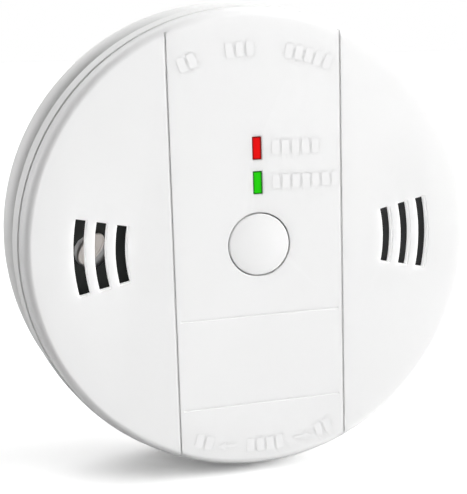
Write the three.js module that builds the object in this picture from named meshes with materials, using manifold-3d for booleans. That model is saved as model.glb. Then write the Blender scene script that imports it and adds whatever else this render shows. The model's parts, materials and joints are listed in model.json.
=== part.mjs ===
// A round battery carbon monoxide alarm: a wall plate, an alarm body that twists onto it, and a vented front
// cover with a test button. Millimetres, +Z up, face towards -Y, origin at the centre of the plate's back.
import * as THREE from "three";
import { mergeVertices } from "three/addons/utils/BufferGeometryUtils.js";
import Module from "manifold-3d";

const wasm = await Module();
wasm.setup();

// Driving dimensions. Every depth is measured back from the front face.
const totalDepth = 27.8;
const gap = 0.3; // between pieces that touch
const shellSegments = 60;

const faceRadius = 50.3; // of the flat part of the face
const coverRadius = 52.6; // at the cover's back edge
const coverDepth = 4.8;
const coverWall = 2.2;

const rimFrontRadius = 52.9; // the body's rim widens towards the wall plate
const rimBackRadius = 53.4;
const bodyRimBack = 10.7; // where the body steps in to enter the wall plate
const bodyRadius = 48.6;
const bodyWall = 1.8;
const bodyBack = 25.5;
const bodyInner = bodyRadius - bodyWall;
const bodyFloor = bodyBack - bodyWall;

const plateFront = bodyRimBack + gap;
const plateNeckRadius = 51.6;
const plateBackRadius = 53.9; // a little wider than the alarm, past a rounded shoulder
const shoulderDepth = 4.5;
const shoulderBack = 24.5;
const plateWall = 1.6;
const plateOpening = 41;
const plateInner = 50.6;

const grooveX = 19.7;
const grooveWidth = 0.6;
const grooveDepth = 0.35;
const crossGrooves = [-16.2, -36.8];

const ventInner = 30;
const ventPitch = 4.55;
const ventWidth = 2.5;
const ventHalfAngle = THREE.MathUtils.degToRad(12);
const ventsPerSide = 3;

const buttonRadius = 7;
const buttonHole = 7.3;
const ledPlaces = { red_led: 21.7, green_led: 14 };
const ledHalf = { x: 1, z: 2.55 };

const boardFront = 6.9;
const boardBack = 8.1;
const boardRadius = 45.8;
const onBoard = boardFront - gap; // back of a piece that sits on the board's front
const underBoard = boardBack + gap; // front of a piece that hangs under the board
const boardScrewPlaces = [[-22, -34], [22, -34], [0, 38]];
const coverScrewPlaces = [[-32, 29], [32, 29], [0, -41]];
const coverScrewSeat = 17; // floor of the counterbore in the housing's back

const cellRadius = 7;
const cellLength = 49.2;
const nubLength = 1;
const cellPitch = 14.9;
const bayHalf = { x: 28.6, z: 22.7 };
const bayWall = 1.2;
const bayFront = 8.5;
const cellDepth = bayFront + bayWall + gap + cellRadius;
const contactThickness = 0.4;
const contactX = bayHalf.x - gap - contactThickness;

const doorHalf = { x: 29.4, z: 24 };
const doorFront = 24.3;
const doorClearance = 0.3;
const labelHalf = { x: 22, z: 12 };
const hinge = { z: 25.6, depth: 24.6, radius: 0.9, pin: 0.5, from: 12, to: 20 };

const sensorX = -36.8;
const sensorRadius = 6.4;
const sensorBack = 20.5;
const buzzerX = 34.5;
const buzzerRadius = 11;

const lugAngles = [30, 150, 270];
const lugHalfAngle = 6;
const lugFront = 17;
const lugBack = 19;

// Colour, roughness and metalness of each material.
const finishes = {
  coverPlastic: [0xf2f2f1, 0.5, 0],
  bodyPlastic: [0xecebe8, 0.55, 0],
  blackPlastic: [0x141416, 0.45, 0],
  creamPlastic: [0xcfc8c0, 0.5, 0],
  board: [0x101513, 0.4, 0],
  redLens: [0xc81412, 0.25, 0],
  greenLens: [0x1fa52c, 0.25, 0],
  steel: [0xb8babd, 0.35, 1],
  brass: [0xb8923f, 0.35, 1],
  ceramic: [0xe9e6dc, 0.6, 0],
  capacitorSleeve: [0x1d2a52, 0.35, 0],
  copper: [0xa9643a, 0.4, 1],
  resistorBody: [0xc9b48a, 0.5, 0],
  cellSleeve: [0x2c5a3a, 0.35, 0],
  label: [0xe6e6e2, 0.6, 0],
};

// A closed geometry as a solid that can be joined and cut.
function solidFrom(geometry) {
  const bare = geometry.clone();
  bare.deleteAttribute("normal");
  bare.deleteAttribute("uv");
  const merged = mergeVertices(bare, 1e-4);
  return new wasm.Manifold(
    new wasm.Mesh({
      numProp: 3,
      vertProperties: merged.attributes.position.array,
      triVerts: new Uint32Array(merged.index.array),
    }),
  );
}

function geometryFrom(solid) {
  const mesh = solid.getMesh();
  const geometry = new THREE.BufferGeometry();
  geometry.setAttribute("position", new THREE.BufferAttribute(new Float32Array(mesh.vertProperties), 3));
  geometry.setIndex(new THREE.BufferAttribute(new Uint32Array(mesh.triVerts), 1));
  geometry.computeVertexNormals();
  return geometry;
}

// An outline of [radius, depth] points turned about the Y axis; a loop closes on itself.
function turned(outline, segments, loop = false) {
  const points = outline.map(([radius, depth]) => new THREE.Vector2(radius, depth));
  if (THREE.ShapeUtils.area(points) < 0) points.reverse();
  if (loop) points.push(points[0].clone());
  return solidFrom(new THREE.LatheGeometry(points, segments));
}

function block(low, high) {
  const size = high.map((value, i) => value - low[i]);
  const middle = high.map((value, i) => (value + low[i]) / 2);
  return solidFrom(new THREE.BoxGeometry(...size).translate(...middle));
}

// A cylinder along Y, from its front depth to its back depth.
function disc(radius, front, back, x = 0, z = 0, segments = 16) {
  const cylinder = new THREE.CylinderGeometry(radius, radius, back - front, segments);
  return solidFrom(cylinder.translate(x, (front + back) / 2, z));
}

// A cylinder along X.
function bar(radius, fromX, toX, depth, z, segments = 12) {
  const cylinder = new THREE.CylinderGeometry(radius, radius, toX - fromX, segments).rotateZ(Math.PI / 2);
  return solidFrom(cylinder.translate((fromX + toX) / 2, depth, z));
}

// A flat shape, drawn in X and Z, given a thickness in depth.
function slab(shape, front, back, curveSegments = 6) {
  const settings = { depth: back - front, bevelEnabled: false, curveSegments };
  return solidFrom(new THREE.ExtrudeGeometry(shape, settings).rotateX(Math.PI / 2).translate(0, back, 0));
}

function ringSector(inner, outer, from, to) {
  const shape = new THREE.Shape();
  shape.absarc(0, 0, outer, from, to, false);
  shape.absarc(0, 0, inner, to, from, true);
  return shape;
}

function joined(first, ...others) {
  return others.reduce((whole, other) => whole.add(other), first);
}

function without(whole, ...cuts) {
  return cuts.reduce((rest, cut) => rest.subtract(cut), whole);
}

function piece(name, solid, finish) {
  const [color, roughness, metalness] = finishes[finish];
  const mesh = new THREE.Mesh(
    geometryFrom(solid),
    new THREE.MeshStandardMaterial({ color, roughness, metalness }),
  );
  mesh.name = name;
  return mesh;
}

// The front cover: a shallow cap with grooves, windows, a button hole, vents and three screw posts.
function coverShell() {
  const edgeWidth = 1.9;
  const edgeDepth = 2.4;
  const edge = [0, 0.25, 0.5, 0.75, 1].map((share) => [
    faceRadius + edgeWidth * Math.sin((share * Math.PI) / 2),
    edgeDepth * (1 - Math.cos((share * Math.PI) / 2)),
  ]);
  const innerRadius = coverRadius - 1;
  const outline = [
    [0, 0],
    ...edge,
    [coverRadius, coverDepth],
    [innerRadius, coverDepth],
    [innerRadius - 0.1, 3],
    [innerRadius - 1.4, coverWall],
    [0, coverWall],
  ];
  return turned(outline, shellSegments);
}

function vents() {
  const slots = [];
  for (const side of [0, Math.PI]) {
    for (let i = 0; i < ventsPerSide; i++) {
      const inner = ventInner + i * ventPitch;
      const shape = ringSector(inner, inner + ventWidth, side - ventHalfAngle, side + ventHalfAngle);
      slots.push(slab(shape, -1, coverWall + 1));
    }
  }
  return slots;
}

function faceGrooves() {
  const half = grooveWidth / 2;
  const reach = 60;
  const grooves = [-grooveX, grooveX].map((x) =>
    block([x - half, -1, -reach], [x + half, grooveDepth, reach]),
  );
  for (const z of crossGrooves) {
    const end = grooveX - 1;
    grooves.push(block([-end, -1, z - half], [end, grooveDepth, z + half]));
  }
  return grooves;
}

function frontCover() {
  const postRadius = 3;
  const postBack = 12;
  const postBore = 1.5;
  const guide = without(disc(9.3, 2, 4.2, 0, 0, 28), disc(8.3, 1, 5, 0, 0, 28));
  const extras = [guide];
  const cuts = [...vents(), ...faceGrooves(), disc(buttonHole, -1, 3, 0, 0, 28)];
  for (const z of Object.values(ledPlaces)) {
    const halfX = ledHalf.x + 0.15;
    const halfZ = ledHalf.z + 0.15;
    extras.push(block([-1.9, 2, z - 3.5], [1.9, 4.4, z + 3.5]));
    cuts.push(block([-halfX, -1, z - halfZ], [halfX, 3, z + halfZ]));
    cuts.push(block([-1.4, coverWall, z - 2.95], [1.4, 5, z + 2.95]));
  }
  for (const [x, z] of coverScrewPlaces) {
    extras.push(disc(postRadius, 2, postBack, x, z, 14));
    cuts.push(disc(postBore, 3.5, postBack + 1, x, z, 10));
  }
  return without(joined(coverShell(), ...extras), ...cuts);
}

function testButton() {
  return turned(
    [
      [0, 0],
      [buttonRadius - 0.3, 0],
      [buttonRadius, 0.25],
      [buttonRadius, 2.6],
      [7.9, 2.6],
      [7.9, 3.2],
      [1.6, 3.2],
      [1.6, 3.9],
      [0, 3.9],
    ],
    28,
  );
}

// A rectangular lamp: a lens that reaches the face, a foot, and two leads through the board.
function led(z) {
  const lensX = ledHalf.x - 0.05;
  const lensZ = ledHalf.z - 0.1;
  const lens = block([-lensX, 0.3, z - lensZ], [lensX, 5.6, z + lensZ]);
  const foot = block([-1.2, 5.4, z - 2.75], [1.2, 6.4, z + 2.75]);
  const leads = [-1.27, 1.27].map((offset) =>
    block([-0.25, 6.2, z + offset - 0.25], [0.25, boardBack + 0.1, z + offset + 0.25]),
  );
  return joined(lens, foot, ...leads);
}

// The rear housing: a cup with a wide rim, a battery bay let into its back, and posts for the screws.
function housingShell() {
  const lipOuter = 51.1;
  const lipInner = 50.4;
  const outline = [
    [0, bodyFloor],
    [bodyInner, bodyFloor],
    [bodyInner, 9],
    [lipInner, 9],
    [lipInner, 3.6],
    [lipOuter, 3.6],
    [lipOuter, coverDepth + gap],
    [rimFrontRadius, coverDepth + gap],
    [rimBackRadius, bodyRimBack - 0.2],
    [rimBackRadius - 0.2, bodyRimBack],
    [bodyRadius, bodyRimBack],
    [bodyRadius, bodyBack - 0.3],
    [bodyRadius - 0.3, bodyBack],
    [0, bodyBack],
  ];
  return turned(outline, shellSegments);
}

function hingeSeats() {
  const seats = [];
  const cuts = [];
  const axis = [hinge.depth, hinge.z];
  for (const side of [-1, 1]) {
    const [from, to] = [side * hinge.from, side * hinge.to].sort((a, b) => a - b);
    seats.push(block([from - 2, 21.9, 23.9], [to + 2, bodyBack, 27.8]));
    cuts.push(block([from - 0.4, 23.3, 24], [to + 0.4, bodyBack + 1, 27]));
    cuts.push(bar(hinge.pin + 0.35, from - 1.7, to + 1.7, ...axis));
  }
  return { seats, cuts };
}

function rearHousing() {
  const outer = { x: bayHalf.x + bayWall, z: bayHalf.z + bayWall };
  const { seats, cuts: hingeCuts } = hingeSeats();
  const extras = [block([-outer.x, bayFront, -outer.z], [outer.x, bodyFloor + 0.1, outer.z]), ...seats];
  const cuts = [
    block([-bayHalf.x, bayFront + bayWall, -bayHalf.z], [bayHalf.x, bodyBack + 1, bayHalf.z]),
    block(
      [-doorHalf.x - doorClearance, bodyFloor, -doorHalf.z - doorClearance],
      [doorHalf.x + doorClearance, bodyBack + 1, doorHalf.z + doorClearance],
    ),
    block([-7, 24.4, -26.8], [7, bodyBack + 1, -doorHalf.z]), // thumb notch at the door's free edge
    ...hingeCuts,
  ];
  for (const [x, z] of coverScrewPlaces) {
    extras.push(disc(3.8, 12 + gap, bodyFloor + 0.1, x, z));
    cuts.push(disc(1.6, 11, coverScrewSeat + 1, x, z, 10));
    cuts.push(disc(3, coverScrewSeat, bodyBack + 1, x, z));
  }
  for (const [x, z] of boardScrewPlaces) {
    extras.push(disc(2.8, underBoard, bodyFloor + 0.1, x, z, 12));
    cuts.push(disc(1.3, underBoard - 1, 14, x, z, 8));
  }
  for (const angle of lugAngles) {
    const from = THREE.MathUtils.degToRad(angle - lugHalfAngle);
    const to = THREE.MathUtils.degToRad(angle + lugHalfAngle);
    extras.push(slab(ringSector(bodyRadius - 0.4, bodyRadius + 1.4, from, to), lugFront, lugBack, 3));
  }
  for (const terminal of [terminals.positive, terminals.negative]) {
    const x = terminal.side * (contactX + contactThickness / 2);
    const z = terminal.row * cellPitch;
    cuts.push(block([x - 0.5, bayFront - 1, z - 2], [x + 0.5, bayFront + bayWall + 1, z + 2]));
  }
  return without(joined(housingShell(), ...extras), ...cuts);
}

// The wall plate: a ring with a neck and a rounded shoulder, a wide opening, four arc slots for wall screws,
// and three bayonet tabs.
function mountingPlate() {
  const shoulder = [0, 22.5, 45, 67.5, 90].map((degrees) => {
    const angle = THREE.MathUtils.degToRad(degrees);
    const radius = plateNeckRadius + (plateBackRadius - plateNeckRadius) * Math.sin(angle);
    return [radius, shoulderBack - shoulderDepth * Math.cos(angle)];
  });
  const ring = turned(
    [
      [plateInner, plateFront],
      [plateNeckRadius, plateFront],
      ...shoulder,
      [plateBackRadius, totalDepth - 0.5],
      [plateBackRadius - 0.4, totalDepth],
      [plateOpening, totalDepth],
      [plateOpening, totalDepth - plateWall],
      [plateInner, totalDepth - plateWall],
    ],
    shellSegments,
    true,
  );
  const tabs = [];
  const tabInner = bodyRadius + 0.5;
  for (const angle of lugAngles) {
    const [stop, from, to] = [-8.4, -lugHalfAngle - 0.6, lugHalfAngle].map((offset) =>
      THREE.MathUtils.degToRad(angle + offset),
    );
    tabs.push(slab(ringSector(tabInner, plateInner + 0.5, stop, to), 14.3, lugFront - gap, 3));
    tabs.push(slab(ringSector(tabInner, plateInner + 0.5, stop, from), 14.3, lugBack + 0.2, 2));
  }
  const slots = [0, 90, 180, 270].map((angle) => {
    const [from, to] = [angle - 6, angle + 6].map(THREE.MathUtils.degToRad);
    return slab(ringSector(44.1, 47.9, from, to), totalDepth - plateWall - 1, totalDepth + 1, 4);
  });
  return without(joined(ring, ...tabs), ...slots);
}

function circuitBoard() {
  const cuts = [disc(3.8, 6, 9, sensorX, 0)];
  for (const [x, z] of coverScrewPlaces) cuts.push(disc(3.5, 6, 9, x, z, 16));
  for (const [x, z] of boardScrewPlaces) cuts.push(disc(1.4, 6, 9, x, z, 12));
  for (const z of Object.values(ledPlaces)) {
    for (const offset of [-1.27, 1.27]) {
      cuts.push(block([-0.6, 6, z + offset - 0.6], [0.6, 9, z + offset + 0.6]));
    }
  }
  return without(disc(boardRadius, boardFront, boardBack, 0, 0, 36), ...cuts);
}

function switchBody() {
  const housing = block([-3, 4.9, -3], [3, onBoard, 3]);
  return without(housing, disc(1.9, 4, 5.9, 0, 0, 16));
}

function switchPlunger() {
  return turned([[0, 4.4], [1.4, 4.4], [1.5, 4.5], [1.5, 5.3], [0, 5.3]], 16);
}

// The gas sensor: a metal can under the board whose inlet cap passes through a hole in it.
function sensorCan() {
  return turned(
    [
      [0, underBoard + 0.1],
      [5.9, underBoard + 0.1],
      [sensorRadius, 9],
      [sensorRadius, 10.4],
      [6.1, 10.7],
      [6.1, sensorBack - 0.5],
      [5.6, sensorBack],
      [0, sensorBack],
    ],
    20,
  );
}

function sensorCap() {
  return turned(
    [
      [2.2, 6],
      [3.2, 6],
      [3.4, 6.2],
      [3.4, 8.2],
      [1.2, 8.2],
      [1.2, 7.3],
      [2.2, 7.3],
    ],
    20,
    true,
  );
}

function sensorTag(side) {
  const z = side * 7.4;
  const [low, high] = [z, z - side * 0.3].sort((a, b) => a - b);
  const legBack = side > 0 ? sensorBack + 0.6 : 12;
  const leg = block([-1.5, underBoard, low], [1.5, legBack, high]);
  const footEnd = side > 0 ? -1 : -sensorRadius - 0.3;
  const [footLow, footHigh] = [z, footEnd].sort((a, b) => a - b);
  return leg.add(block([-1.5, legBack - 0.3, footLow], [1.5, legBack, footHigh]));
}

// The sounder: a shallow cup with a sound hole, and a brass disc with a ceramic layer inside it.
function buzzerCup() {
  return turned(
    [
      [1.5, 2.8],
      [buzzerRadius - 0.3, 2.8],
      [buzzerRadius, 3.1],
      [buzzerRadius, onBoard],
      [9.9, onBoard],
      [9.9, 3.8],
      [1.5, 3.8],
    ],
    28,
    true,
  );
}

function microcontroller() {
  const legs = [];
  for (let i = 0; i < 7; i++) {
    const z = (i - 3) * 1.27;
    legs.push(block([-3, 5.7, z - 0.2], [3, 5.95, z + 0.2]));
    legs.push(block([-3, 5.7, z - 0.2], [-2.75, onBoard, z + 0.2]));
    legs.push(block([2.75, 5.7, z - 0.2], [3, onBoard, z + 0.2]));
  }
  return joined(block([-2, 4.9, -4.4], [2, 6.4, 4.4]), ...legs);
}

function drumCapacitor(radius, back) {
  return turned(
    [
      [0, underBoard],
      [radius - 0.3, underBoard],
      [radius, underBoard + 0.3],
      [radius, underBoard + 0.9],
      [radius - 0.25, underBoard + 1.2],
      [radius, underBoard + 1.5],
      [radius, back - 0.4],
      [radius - 0.4, back],
      [0, back],
    ],
    16,
  );
}

function stepUpCoil() {
  return turned(
    [
      [0, underBoard],
      [4.5, underBoard],
      [4.5, 9.8],
      [3.7, 9.8],
      [3.7, 15.4],
      [4.5, 15.4],
      [4.5, 16.8],
      [0, 16.8],
    ],
    16,
  );
}

function transistor() {
  const shape = new THREE.Shape();
  shape.absarc(0, 0, 2.4, THREE.MathUtils.degToRad(-40), THREE.MathUtils.degToRad(220), false);
  const leads = [-1.27, 0, 1.27].map((x) => block([x - 0.25, underBoard, -0.25], [x + 0.25, 11, 0.25]));
  return joined(slab(shape, 10.6, 15.2, 8), ...leads);
}

function resistor() {
  const centre = 5.2;
  const body = bar(1.1, -3.2, 3.2, centre, 0, 10);
  const wire = block([-5, centre - 0.25, -0.25], [5, centre + 0.25, 0.25]);
  const ends = [-5, 4.5].map((x) => block([x, centre - 0.25, -0.25], [x + 0.5, onBoard, 0.25]));
  return joined(body, wire, ...ends);
}

// A dry cell along X, its nub towards +X, centred on its can and nub together.
function cell() {
  const half = (cellLength + nubLength) / 2;
  const outline = [
    [0, -half],
    [cellRadius - 0.5, -half],
    [cellRadius, -half + 0.5],
    [cellRadius, half - nubLength - 0.5],
    [cellRadius - 0.5, half - nubLength],
    [2.75, half - nubLength],
    [2.6, half],
    [0, half],
  ];
  const points = outline.map(([radius, along]) => new THREE.Vector2(radius, along));
  return solidFrom(new THREE.LatheGeometry(points, 18).rotateZ(-Math.PI / 2));
}

// A spring that narrows from the contact plate towards the cell, along +X from its wide end.
class ConeHelix extends THREE.Curve {
  getPoint(share, target = new THREE.Vector3()) {
    const turns = 3;
    const radius = 3.6 - 1.4 * share;
    const angle = share * turns * 2 * Math.PI;
    return target.set(0.4 + 3.5 * share, radius * Math.cos(angle), radius * Math.sin(angle));
  }
}

function contactSpring() {
  const wire = new THREE.Shape();
  wire.absarc(0, 0, 0.35, 0, 2 * Math.PI, false);
  const settings = { steps: 27, curveSegments: 2, extrudePath: new ConeHelix(), bevelEnabled: false };
  return solidFrom(new THREE.ExtrudeGeometry(wire, settings));
}

// Where each contact plate stands: its end of the bay and the rows of cells that it serves.
const terminals = {
  positive: { side: 1, row: 1 },
  negative: { side: -1, row: -1 },
};

function contactPlate(side, lowRow, highRow) {
  const half = 5;
  const [near, far] = [side * contactX, side * (contactX + contactThickness)].sort((a, b) => a - b);
  return block(
    [near, cellDepth - 5.5, lowRow * cellPitch - half],
    [far, cellDepth + 5.5, highRow * cellPitch + half],
  );
}

// An end plate with a tab that passes through the bay's floor to the board.
function terminalPlate({ side, row }) {
  const [near, far] = [side * contactX, side * (contactX + contactThickness)].sort((a, b) => a - b);
  const z = row * cellPitch;
  const tab = block([near, underBoard, z - 1.5], [far, cellDepth - 5, z + 1.5]);
  return contactPlate(side, row, row).add(tab);
}

function screw(headRadius, headHeight, shankRadius, shankLength) {
  const body = turned(
    [
      [0, -headHeight],
      [headRadius - 0.6, -headHeight],
      [headRadius, -headHeight * 0.4],
      [headRadius, 0],
      [shankRadius, 0],
      [shankRadius, shankLength - 0.8],
      [0, shankLength],
    ],
    12,
  );
  const arm = headRadius * 0.6;
  const depth = headHeight * 0.5;
  return without(
    body,
    block([-arm, -headHeight - 1, -0.35], [arm, depth - headHeight, 0.35]),
    block([-0.35, -headHeight - 1, -arm], [0.35, depth - headHeight, arm]),
  );
}

// The battery door, hinged along its top edge, with a shallow recess for its label.
function batteryDoor() {
  const panel = block([-doorHalf.x, doorFront, -doorHalf.z], [doorHalf.x, bodyBack, doorHalf.z]);
  const knuckles = [];
  for (const side of [-1, 1]) {
    const [from, to] = [side * hinge.from, side * hinge.to].sort((a, b) => a - b);
    knuckles.push(block([from, 24.4, doorHalf.z - 1], [to, bodyBack - 0.1, hinge.z]));
    knuckles.push(bar(hinge.radius, from, to, hinge.depth, hinge.z));
    knuckles.push(bar(hinge.pin, from - 1.3, to + 1.3, hinge.depth, hinge.z, 8));
  }
  const recess = block([-labelHalf.x - gap, bodyBack - 0.55, -labelHalf.z - gap], [
    labelHalf.x + gap,
    bodyBack + 1,
    labelHalf.z + gap,
  ]);
  return without(joined(panel, ...knuckles), recess);
}

function ratingLabel() {
  return block([-labelHalf.x, bodyBack - 0.25, -labelHalf.z], [labelHalf.x, bodyBack - 0.05, labelHalf.z]);
}

function placed(mesh, x, depth, z) {
  mesh.position.set(x, depth, z);
  return mesh;
}

// The board with everything soldered to it.
function boardAssembly() {
  const assembly = new THREE.Group();
  assembly.add(
    piece("circuit_board", circuitBoard(), "board"),
    piece("tact_switch_body", switchBody(), "blackPlastic"),
    piece("tact_switch_plunger", switchPlunger(), "creamPlastic"),
    placed(piece("microcontroller", microcontroller(), "blackPlastic"), 12, 0, -14),
    placed(piece("smoothing_capacitor", drumCapacitor(4, 19.4), "capacitorSleeve"), -13, 0, -35),
    placed(piece("timing_capacitor", drumCapacitor(2.5, 14), "capacitorSleeve"), 0, 0, -31),
    placed(piece("step_up_coil", stepUpCoil(), "copper"), 11.5, 0, -34.5),
    placed(piece("driver_transistor", transistor(), "blackPlastic"), -10, 0, 33),
  );
  for (const [name, z] of Object.entries(ledPlaces)) {
    assembly.add(piece(name, led(z), name === "red_led" ? "redLens" : "greenLens"));
  }
  for (let i = 0; i < 3; i++) {
    assembly.add(placed(piece("resistor_" + (i + 1), resistor(), "resistorBody"), -14, 0, -8 - 4 * i));
  }
  return assembly;
}

function gasSensor() {
  const sensor = new THREE.Group();
  sensor.position.x = sensorX;
  sensor.add(
    piece("co_sensor_can", sensorCan(), "steel"),
    piece("co_sensor_cap", sensorCap(), "creamPlastic"),
    piece("co_sensor_inlet_mesh", disc(1.9, 6.7, 7), "steel"),
    piece("co_sensor_tag_rear", sensorTag(1), "steel"),
    piece("co_sensor_tag_front", sensorTag(-1), "steel"),
  );
  return sensor;
}

function sounder() {
  const group = new THREE.Group();
  group.position.x = buzzerX;
  group.add(
    piece("buzzer_housing", buzzerCup(), "blackPlastic"),
    piece("buzzer_disc", disc(9.5, 4.6, 4.9, 0, 0, 24), "brass"),
    piece("buzzer_ceramic", disc(6.5, 5.2, 5.4, 0, 0, 20), "ceramic"),
  );
  return group;
}

// Three cells in series, each turned end for end from the one before, with their contacts.
function batteryPack() {
  const pack = new THREE.Group();
  const shift = contactX - gap - (cellLength + nubLength) / 2;
  [1, 0, -1].forEach((row, i) => {
    const side = i % 2 ? -1 : 1;
    const battery = piece("battery_" + (i + 1), cell(), "cellSleeve");
    placed(battery, side * shift, cellDepth, row * cellPitch);
    battery.rotation.z = side > 0 ? 0 : Math.PI;
    const spring = placed(
      piece("battery_spring_" + (i + 1), contactSpring(), "steel"),
      -side * (contactX - gap),
      cellDepth,
      row * cellPitch,
    );
    spring.rotation.z = battery.rotation.z;
    pack.add(battery, spring);
  });
  pack.add(
    piece("contact_positive", terminalPlate(terminals.positive), "steel"),
    piece("contact_negative", terminalPlate(terminals.negative), "steel"),
    piece("contact_link_left", contactPlate(-1, 0, 1), "steel"),
    piece("contact_link_right", contactPlate(1, -1, 0), "steel"),
  );
  return pack;
}

function screws() {
  const group = new THREE.Group();
  boardScrewPlaces.forEach(([x, z], i) => {
    const mesh = piece("board_screw_" + (i + 1), screw(2.3, 1.5, 1, 6.4), "steel");
    group.add(placed(mesh, x, onBoard, z));
  });
  coverScrewPlaces.forEach(([x, z], i) => {
    const mesh = piece("cover_screw_" + (i + 1), screw(2.6, 1.8, 1.2, 12), "steel");
    mesh.rotation.x = Math.PI;
    group.add(placed(mesh, x, coverScrewSeat + gap, z));
  });
  return group;
}

const fromFace = new THREE.Group(); // inside it, Y is the depth behind the face
fromFace.position.y = -totalDepth;
fromFace.add(
  piece("mounting_plate", mountingPlate(), "bodyPlastic"),
  piece("rear_housing", rearHousing(), "bodyPlastic"),
  piece("front_cover", frontCover(), "coverPlastic"),
  piece("test_button", testButton(), "coverPlastic"),
  piece("battery_door", batteryDoor(), "bodyPlastic"),
  piece("rating_label", ratingLabel(), "label"),
  boardAssembly(),
  gasSensor(),
  sounder(),
  batteryPack(),
  screws(),
);

const alarm = new THREE.Group();
alarm.add(fromFace);

export default alarm;
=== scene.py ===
import json
import math

import bmesh
import bpy
from mathutils import Matrix, Vector


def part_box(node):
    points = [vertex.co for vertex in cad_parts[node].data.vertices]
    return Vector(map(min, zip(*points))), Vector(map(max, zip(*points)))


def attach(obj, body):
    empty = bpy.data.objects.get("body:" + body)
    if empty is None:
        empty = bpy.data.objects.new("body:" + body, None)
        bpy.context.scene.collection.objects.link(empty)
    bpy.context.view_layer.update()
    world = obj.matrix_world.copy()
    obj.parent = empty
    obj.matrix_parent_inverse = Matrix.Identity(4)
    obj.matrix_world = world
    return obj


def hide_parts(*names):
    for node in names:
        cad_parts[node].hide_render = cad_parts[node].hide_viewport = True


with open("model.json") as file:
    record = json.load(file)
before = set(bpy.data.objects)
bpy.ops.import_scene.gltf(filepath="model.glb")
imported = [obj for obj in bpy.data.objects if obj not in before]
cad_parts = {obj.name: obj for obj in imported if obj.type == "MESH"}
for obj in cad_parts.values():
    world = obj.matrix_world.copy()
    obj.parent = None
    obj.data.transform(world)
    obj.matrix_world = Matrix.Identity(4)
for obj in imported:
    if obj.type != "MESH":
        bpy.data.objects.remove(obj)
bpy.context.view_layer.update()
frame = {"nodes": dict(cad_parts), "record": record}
mm = 0.001
scene = bpy.context.scene

# Where things are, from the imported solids, in millimetres. Depths run back from the face.
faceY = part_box("front_cover")[0].y
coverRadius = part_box("front_cover")[1].x / mm
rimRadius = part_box("rear_housing")[1].x / mm
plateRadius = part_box("mounting_plate")[1].x / mm
totalDepth = -faceY / mm

past = 1  # how far a cutting tool reaches past the surface it starts from
bite = 0.1  # how far a piece that is joined on reaches into what it is joined to
tiny = 1e-6
bumpHeight = 0.02 * mm


def depthOf(y):
    return (y - faceY) / mm


def place(x, depth, z):
    return Vector((x * mm, faceY + depth * mm, z * mm))


def nodeBox(name):
    low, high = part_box(name)
    return (low.x / mm, depthOf(low.y), low.z / mm), (high.x / mm, depthOf(high.y), high.z / mm)


# mesh building

# A quarter of an ellipse as (radius, depth) points, that starts flat along the face and ends along the depth.
def quarterRound(radius, depth, width, height, steps):
    points = []
    for i in range(steps + 1):
        angle = math.pi / 2 * i / steps
        points.append((radius + width * math.sin(angle), depth + height * (1 - math.cos(angle))))
    return points


def bridge(bm, first, second):
    for i in range(len(first)):
        j = (i + 1) % len(first)
        bm.faces.new([first[i], first[j], second[j], second[i]])


def closeTube(bm, rings):
    for first, second in zip(rings, rings[1:]):
        bridge(bm, first, second)
    bm.faces.new(rings[0])
    bm.faces.new(rings[-1])
    bmesh.ops.recalc_face_normals(bm, faces=bm.faces)
    return bm


# Turns an outline of (radius, depth) points about the line at x, z. A point at radius 0 closes an end.
def turnOutline(outline, segments, loop=False, x=0, z=0):
    bm = bmesh.new()
    rings = []
    for radius, depth in outline:
        if radius < tiny:
            rings.append([bm.verts.new(place(x, depth, z))])
            continue
        ring = []
        for i in range(segments):
            angle = 2 * math.pi * i / segments
            spot = place(x + radius * math.cos(angle), depth, z + radius * math.sin(angle))
            ring.append(bm.verts.new(spot))
        rings.append(ring)
    pairs = list(zip(outline, outline[1:], rings, rings[1:]))
    if loop:
        pairs.append((outline[-1], outline[0], rings[-1], rings[0]))
    for firstPoint, secondPoint, first, second in pairs:
        flatCap = min(len(first), len(second)) == 1 and abs(firstPoint[1] - secondPoint[1]) < tiny
        if flatCap:
            ring = first if len(first) > 1 else second
            lone = first if len(first) == 1 else second
            bm.faces.new(ring)
            bm.verts.remove(lone[0])
            continue
        for i in range(segments):
            j = (i + 1) % segments
            near = [first[i % len(first)], first[j % len(first)]]
            far = [second[j % len(second)], second[i % len(second)]]
            corners = list(dict.fromkeys(near + far))
            if len(corners) > 2:
                bm.faces.new(corners)
    bmesh.ops.recalc_face_normals(bm, faces=bm.faces)
    return bm


def prism(points, front, back):
    bm = bmesh.new()
    near = [bm.verts.new(place(x, front, z)) for x, z in points]
    far = [bm.verts.new(place(x, back, z)) for x, z in points]
    bm.faces.new(near)
    bm.faces.new(far)
    bridge(bm, near, far)
    bmesh.ops.recalc_face_normals(bm, faces=bm.faces)
    return bm


def brick(low, high):
    corners = [(low[0], low[2]), (high[0], low[2]), (high[0], high[2]), (low[0], high[2])]
    return prism(corners, low[1], high[1])


def arcPoints(radius, start, end, steps, x=0, z=0):
    for i in range(steps + 1):
        angle = math.radians(start + (end - start) * i / steps)
        yield x + radius * math.cos(angle), z + radius * math.sin(angle)


def ringSector(inner, outer, start, end, steps=16):
    return [*arcPoints(outer, start, end, steps), *arcPoints(inner, end, start, steps)]


def roundedRectangle(halfX, halfZ, radius, x=0, z=0, steps=5):
    points = []
    for signX, signZ, start in ((1, 1, 0), (-1, 1, 90), (-1, -1, 180), (1, -1, 270)):
        centreX = x + signX * (halfX - radius)
        centreZ = z + signZ * (halfZ - radius)
        points.extend(arcPoints(radius, start, start + 90, steps, centreX, centreZ))
    return points


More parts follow.
